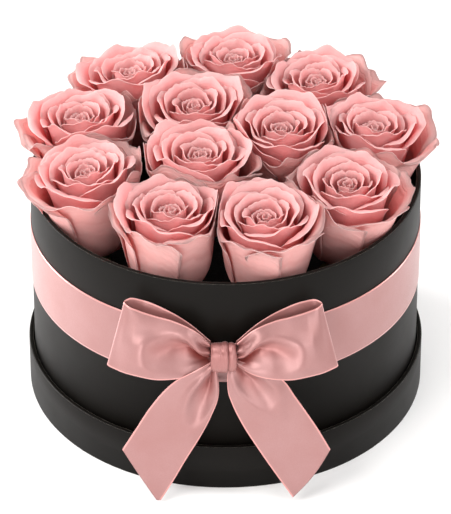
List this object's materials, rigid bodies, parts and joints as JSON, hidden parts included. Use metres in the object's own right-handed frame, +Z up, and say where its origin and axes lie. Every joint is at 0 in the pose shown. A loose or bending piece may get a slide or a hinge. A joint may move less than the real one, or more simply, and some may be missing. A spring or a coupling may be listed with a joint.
{
  "type": "flower box",
  "caption": "Round rigid gift box of roses set in foam, standing in its own upturned lid, with a satin ribbon band and bow.",
  "frame": {"origin": "middle of the underside of the upturned lid, on the surface that it stands on", "axes": "+Z up along the box's axis; the bow faces -Y; +X to the right of someone facing the bow"},
  "size_m": [0.2178, 0.2341, 0.1598],
  "materials": {
    "box_paper": "matte",
    "greyboard": "matte",
    "foam": "matte",
    "ribbon": "satin",
    "tape": "gloss",
    "petal": "satin",
    "green": "satin",
    "stem": "satin"
  },
  "bodies": {
    "lid": {"lid_face_paper": "box_paper", "lid_panel": "greyboard", "lid_rim": "greyboard", "lid_side_paper": "box_paper"},
    "box": {"box_base_paper": "box_paper", "box_floor": "greyboard", "box_wall": "greyboard", "box_side_paper": "box_paper", "foam_block": "foam", "ribbon_band": "ribbon", "ribbon_lap_end": "ribbon", "ribbon_lap_tape": "tape", "bow_glue_pad": "tape", "bow_knot": "ribbon", "bow_loop_left": "ribbon", "bow_loop_right": "ribbon", "bow_tail_left": "ribbon", "bow_tail_right": "ribbon"},
    "rose_01": {"rose_01_bloom": "petal", "rose_01_calyx": "green", "rose_01_stem": "stem"},
    "rose_02": {"rose_02_bloom": "petal", "rose_02_calyx": "green", "rose_02_stem": "stem"},
    "rose_03": {"rose_03_bloom": "petal", "rose_03_calyx": "green", "rose_03_stem": "stem"},
    "rose_04": {"rose_04_bloom": "petal", "rose_04_calyx": "green", "rose_04_stem": "stem"},
    "rose_05": {"rose_05_bloom": "petal", "rose_05_calyx": "green", "rose_05_stem": "stem"},
    "rose_06": {"rose_06_bloom": "petal", "rose_06_calyx": "green", "rose_06_stem": "stem"},
    "rose_07": {"rose_07_bloom": "petal", "rose_07_calyx": "green", "rose_07_stem": "stem"},
    "rose_08": {"rose_08_bloom": "petal", "rose_08_calyx": "green", "rose_08_stem": "stem"},
    "rose_09": {"rose_09_bloom": "petal", "rose_09_calyx": "green", "rose_09_stem": "stem"},
    "rose_10": {"rose_10_bloom": "petal", "rose_10_calyx": "green", "rose_10_stem": "stem"},
    "rose_11": {"rose_11_bloom": "petal", "rose_11_calyx": "green", "rose_11_stem": "stem"},
    "rose_12": {"rose_12_bloom": "petal", "rose_12_calyx": "green", "rose_12_stem": "stem"}
  },
  "joints": [
    {"name": "box_lift", "type": "slide", "parent": "lid", "child": "box", "axis": [0, 0, 1], "range_m": [0, 0.04]},
    {"name": "rose_01_pull", "type": "slide", "parent": "box", "child": "rose_01", "axis": [-0.0417, -0.0959, 0.9945], "range_m": [0, 0.06]},
    {"name": "rose_02_pull", "type": "slide", "parent": "box", "child": "rose_02", "axis": [0.0297, -0.1002, 0.9945], "range_m": [0, 0.06]},
    {"name": "rose_03_pull", "type": "slide", "parent": "box", "child": "rose_03", "axis": [0.0872, -0.0577, 0.9945], "range_m": [0, 0.06]},
    {"name": "rose_04_pull", "type": "slide", "parent": "box", "child": "rose_04", "axis": [0.1039, 0.0118, 0.9945], "range_m": [0, 0.06]},
    {"name": "rose_05_pull", "type": "slide", "parent": "box", "child": "rose_05", "axis": [0.072, 0.0758, 0.9945], "range_m": [0, 0.06]},
    {"name": "rose_06_pull", "type": "slide", "parent": "box", "child": "rose_06", "axis": [0.0064, 0.1043, 0.9945], "range_m": [0, 0.06]},
    {"name": "rose_07_pull", "type": "slide", "parent": "box", "child": "rose_07", "axis": [-0.0622, 0.084, 0.9945], "range_m": [0, 0.06]},
    {"name": "rose_08_pull", "type": "slide", "parent": "box", "child": "rose_08", "axis": [-0.1016, 0.0244, 0.9945], "range_m": [0, 0.06]},
    {"name": "rose_09_pull", "type": "slide", "parent": "box", "child": "rose_09", "axis": [-0.0935, -0.0466, 0.9945], "range_m": [0, 0.06]},
    {"name": "rose_10_pull", "type": "slide", "parent": "box", "child": "rose_10", "axis": [0, 0, 1], "range_m": [0, 0.06]},
    {"name": "rose_11_pull", "type": "slide", "parent": "box", "child": "rose_11", "axis": [0, 0, 1], "range_m": [0, 0.06]},
    {"name": "rose_12_pull", "type": "slide", "parent": "box", "child": "rose_12", "axis": [0, 0, 1], "range_m": [0, 0.06]}
  ]
}
